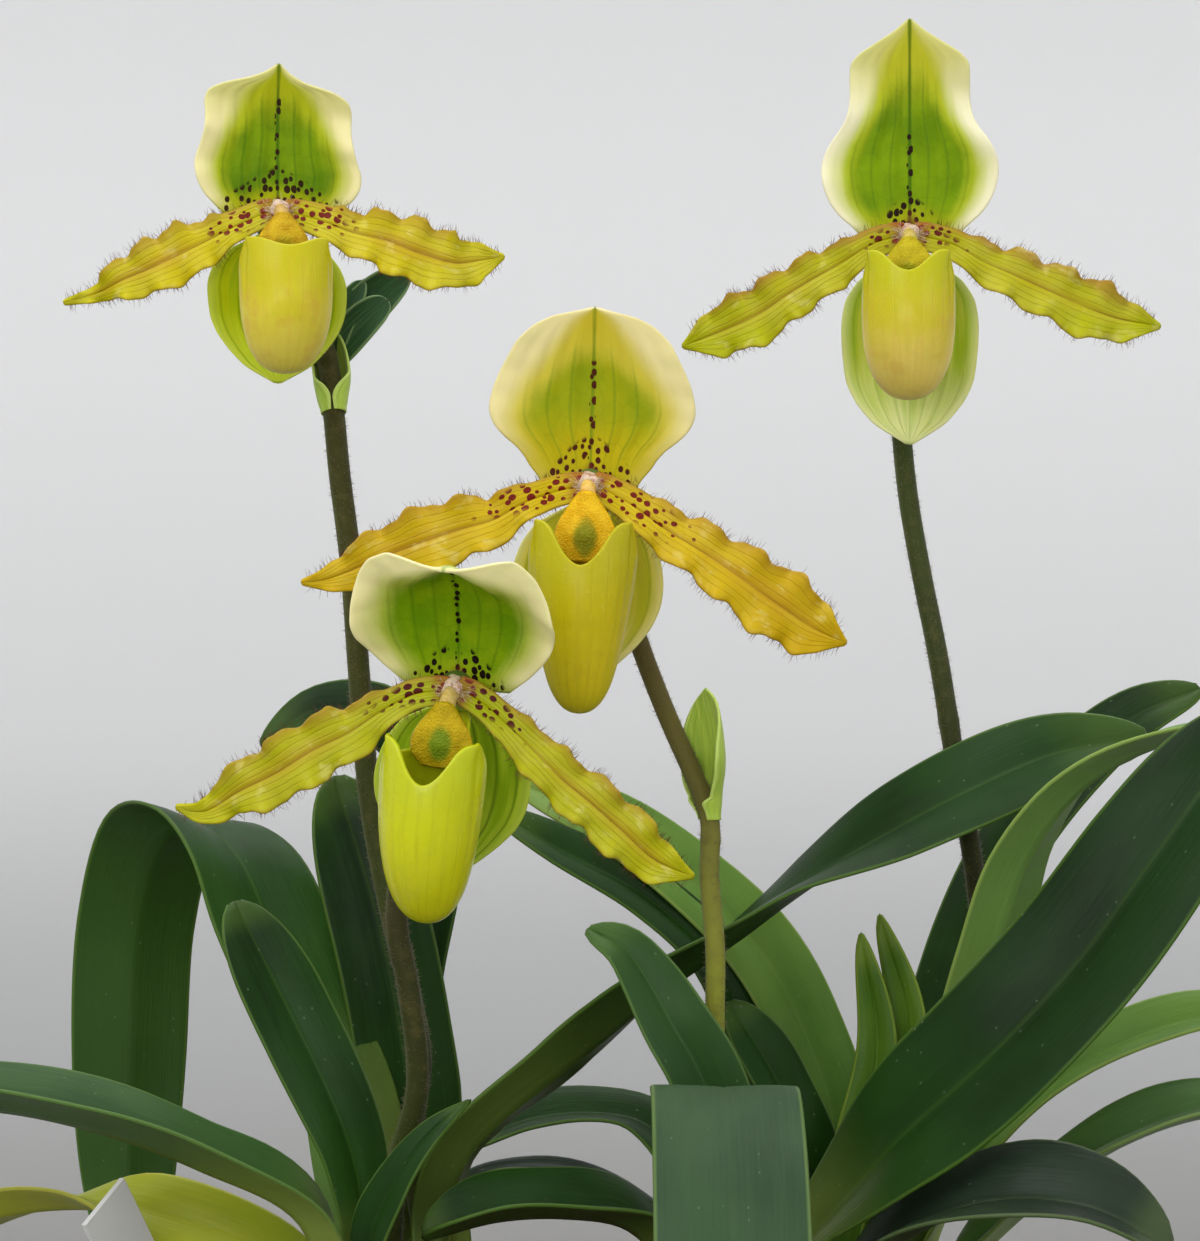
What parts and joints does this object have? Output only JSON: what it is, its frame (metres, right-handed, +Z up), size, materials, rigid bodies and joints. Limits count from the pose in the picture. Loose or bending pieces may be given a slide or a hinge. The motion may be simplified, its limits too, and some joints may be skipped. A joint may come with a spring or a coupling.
{
  "type": "potted paphiopedilum orchid",
  "caption": "Slipper orchid with waved petals and open pouch lips on hairy stalks over keeled strap leaves, growing in bark in a plain round pot that stands on its flat base.",
  "frame": {"origin": "centre of the pot's flat underside", "axes": "+Z up; the blooms look along -Y; +X is to the right of someone who looks at the blooms"},
  "size_m": [0.2674, 0.1948, 0.3534],
  "materials": {
    "pot": "satin",
    "bark": "matte",
    "label": "satin",
    "leaf": "satin",
    "pale_leaf": "satin",
    "yellow_leaf": "satin",
    "stalk": "matte",
    "bract": "satin",
    "dark_bract": "matte",
    "dorsal_sepal": "satin",
    "petal": "satin",
    "synsepal": "satin",
    "lip": "gloss",
    "column": "satin"
  },
  "bodies": {
    "root": {"bark": "bark", "bloom_front_column": "column", "bloom_front_dorsal_sepal": "dorsal_sepal", "bloom_front_lip": "lip", "bloom_front_petal_left": "petal", "bloom_front_petal_right": "petal", "bloom_front_synsepal": "synsepal", "bloom_middle_column": "column", "bloom_middle_dorsal_sepal": "dorsal_sepal", "bloom_middle_lip": "lip", "bloom_middle_petal_left": "petal", "bloom_middle_petal_right": "petal", "bloom_middle_synsepal": "synsepal", "bloom_upper_left_column": "column", "bloom_upper_left_dorsal_sepal": "dorsal_sepal", "bloom_upper_left_lip": "lip", "bloom_upper_left_petal_left": "petal", "bloom_upper_left_petal_right": "petal", "bloom_upper_left_synsepal": "synsepal", "bloom_upper_right_column": "column", "bloom_upper_right_dorsal_sepal": "dorsal_sepal", "bloom_upper_right_lip": "lip", "bloom_upper_right_petal_left": "petal", "bloom_upper_right_petal_right": "petal", "bloom_upper_right_synsepal": "synsepal", "bract_front": "bract", "bract_middle": "bract", "bract_upper_left": "bract", "bract_upper_left_dark": "dark_bract", "bract_upper_right": "bract", "label": "label", "leaf_back_arching": "leaf", "leaf_back_tall": "leaf", "leaf_back_upright": "leaf", "leaf_centre_broad": "leaf", "leaf_centre_dark_low": "leaf", "leaf_centre_hanging": "leaf", "leaf_centre_low": "leaf", "leaf_centre_low_front": "leaf", "leaf_centre_short": "leaf", "leaf_centre_thin": "leaf", "leaf_left_basal": "pale_leaf", "leaf_left_long_diagonal": "leaf", "leaf_left_long_low": "leaf", "leaf_left_short_front": "leaf", "leaf_left_upright": "leaf", "leaf_left_yellow": "yellow_leaf", "leaf_right_cross_lower": "leaf", "leaf_right_cross_upper": "pale_leaf", "leaf_right_low_side": "leaf", "leaf_right_side": "pale_leaf", "leaf_right_stub": "leaf", "leaf_right_tall_back": "leaf", "leaf_right_turned": "pale_leaf", "pot": "pot", "stalk_front": "stalk", "stalk_middle": "stalk", "stalk_upper_left": "stalk", "stalk_upper_right": "stalk", "young_shoot": "pale_leaf"}
  },
  "joints": []
}
